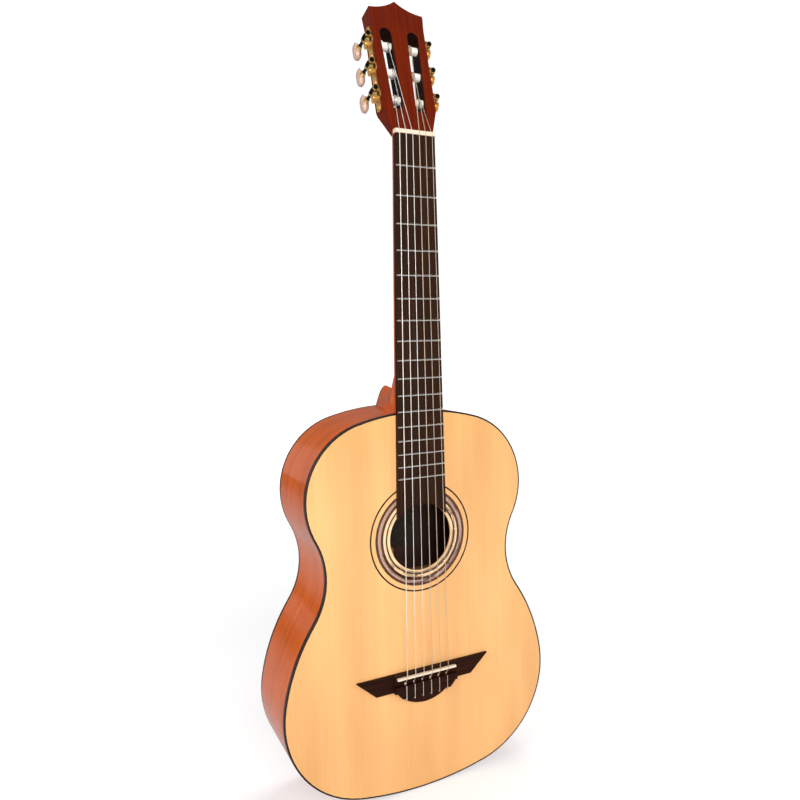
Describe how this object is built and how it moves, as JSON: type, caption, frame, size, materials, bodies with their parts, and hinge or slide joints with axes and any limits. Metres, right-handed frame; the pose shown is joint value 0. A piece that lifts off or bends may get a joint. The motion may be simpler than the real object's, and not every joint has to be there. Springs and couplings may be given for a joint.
{
  "type": "classical guitar",
  "caption": "Full-size classical guitar with slotted head, worm-geared tuners, fixed bridge and round sound hole, hung or laid on its flat back.",
  "frame": {"origin": "on the centre line at the nut's front edge, on the glue plane under the fingerboard, where a hanger's yoke holds the neck below the head", "axes": "+Z along the neck towards the head, +X towards the treble side, +Y from the soundboard to the back"},
  "size_m": [0.3652, 0.1131, 0.9769],
  "materials": {
    "spruce": "gloss",
    "mahogany": "gloss",
    "lining_wood": "matte",
    "veneer": "gloss",
    "rosewood": "satin",
    "ebony": "satin",
    "binding_wood": "gloss",
    "rosette_wood": "gloss",
    "bone": "satin",
    "nickel_silver": "polished",
    "paper": "matte",
    "brass": "polished",
    "nylon": "clear",
    "wound_string": "wound",
    "roller_plastic": "gloss",
    "dark_steel": "blackened",
    "button_plastic": "pearl"
  },
  "bodies": {
    "guitar": {"back": "mahogany", "back_braces": "spruce", "back_strip": "spruce", "binding_back": "binding_wood", "binding_front": "binding_wood", "bridge": "rosewood", "end_strip": "binding_wood", "fan_braces": "spruce", "fingerboard": "ebony", "frets": "nickel_silver", "harmonic_bars": "spruce", "head_veneer": "veneer", "heel_cap": "rosewood", "label": "paper", "linings_back": "lining_wood", "linings_front": "lining_wood", "neck": "mahogany", "nut": "bone", "plate_screws": "brass", "rosette": "rosette_wood", "saddle": "bone", "side_bass": "mahogany", "side_treble": "mahogany", "soundboard": "spruce", "string_1": "nylon", "string_2": "nylon", "string_3": "nylon", "string_4": "wound_string", "string_5": "wound_string", "string_6": "wound_string", "tail_block": "mahogany", "tuner_plate_bass": "brass", "tuner_plate_treble": "brass"},
    "button_shaft_1": {"worm_shaft_1": "dark_steel", "button_1": "button_plastic"},
    "roller_set_1": {"roller_1": "roller_plastic", "gear_1": "brass"},
    "button_shaft_2": {"worm_shaft_2": "dark_steel", "button_2": "button_plastic"},
    "roller_set_2": {"roller_2": "roller_plastic", "gear_2": "brass"},
    "button_shaft_3": {"worm_shaft_3": "dark_steel", "button_3": "button_plastic"},
    "roller_set_3": {"roller_3": "roller_plastic", "gear_3": "brass"},
    "button_shaft_4": {"worm_shaft_4": "dark_steel", "button_4": "button_plastic"},
    "roller_set_4": {"roller_4": "roller_plastic", "gear_4": "brass"},
    "button_shaft_5": {"worm_shaft_5": "dark_steel", "button_5": "button_plastic"},
    "roller_set_5": {"roller_5": "roller_plastic", "gear_5": "brass"},
    "button_shaft_6": {"worm_shaft_6": "dark_steel", "button_6": "button_plastic"},
    "roller_set_6": {"roller_6": "roller_plastic", "gear_6": "brass"}
  },
  "joints": [
    {"name": "button_turn_1", "type": "hinge", "parent": "guitar", "child": "button_shaft_1", "pos_m": [0.041, 0.01948, 0.05238], "axis": [0, -0.9659, 0.2588], "continuous": true},
    {"name": "roller_turn_1", "type": "hinge", "parent": "guitar", "child": "roller_set_1", "pos_m": [0.041, 0.0171, 0.0435], "axis": [1, 0, 0], "continuous": true},
    {"name": "button_turn_2", "type": "hinge", "parent": "guitar", "child": "button_shaft_2", "pos_m": [0.041, 0.02854, 0.08619], "axis": [0, -0.9659, 0.2588], "continuous": true},
    {"name": "roller_turn_2", "type": "hinge", "parent": "guitar", "child": "roller_set_2", "pos_m": [0.041, 0.02616, 0.07731], "axis": [1, 0, 0], "continuous": true},
    {"name": "button_turn_3", "type": "hinge", "parent": "guitar", "child": "button_shaft_3", "pos_m": [0.041, 0.0376, 0.12], "axis": [0, -0.9659, 0.2588], "continuous": true},
    {"name": "roller_turn_3", "type": "hinge", "parent": "guitar", "child": "roller_set_3", "pos_m": [0.041, 0.03522, 0.11111], "axis": [1, 0, 0], "continuous": true},
    {"name": "button_turn_4", "type": "hinge", "parent": "guitar", "child": "button_shaft_4", "pos_m": [-0.041, 0.0376, 0.12], "axis": [0, -0.9659, 0.2588], "continuous": true},
    {"name": "roller_turn_4", "type": "hinge", "parent": "guitar", "child": "roller_set_4", "pos_m": [-0.041, 0.03522, 0.11111], "axis": [1, 0, 0], "continuous": true},
    {"name": "button_turn_5", "type": "hinge", "parent": "guitar", "child": "button_shaft_5", "pos_m": [-0.041, 0.02854, 0.08619], "axis": [0, -0.9659, 0.2588], "continuous": true},
    {"name": "roller_turn_5", "type": "hinge", "parent": "guitar", "child": "roller_set_5", "pos_m": [-0.041, 0.02616, 0.07731], "axis": [1, 0, 0], "continuous": true},
    {"name": "button_turn_6", "type": "hinge", "parent": "guitar", "child": "button_shaft_6", "pos_m": [-0.041, 0.01948, 0.05238], "axis": [0, -0.9659, 0.2588], "continuous": true},
    {"name": "roller_turn_6", "type": "hinge", "parent": "guitar", "child": "roller_set_6", "pos_m": [-0.041, 0.0171, 0.0435], "axis": [1, 0, 0], "continuous": true}
  ],
  "couplings": [
    {"joint": "roller_turn_1", "follows": "button_turn_1", "ratio": -0.066667},
    {"joint": "roller_turn_2", "follows": "button_turn_2", "ratio": -0.066667},
    {"joint": "roller_turn_3", "follows": "button_turn_3", "ratio": -0.066667},
    {"joint": "roller_turn_4", "follows": "button_turn_4", "ratio": -0.066667},
    {"joint": "roller_turn_5", "follows": "button_turn_5", "ratio": -0.066667},
    {"joint": "roller_turn_6", "follows": "button_turn_6", "ratio": -0.066667}
  ]
}
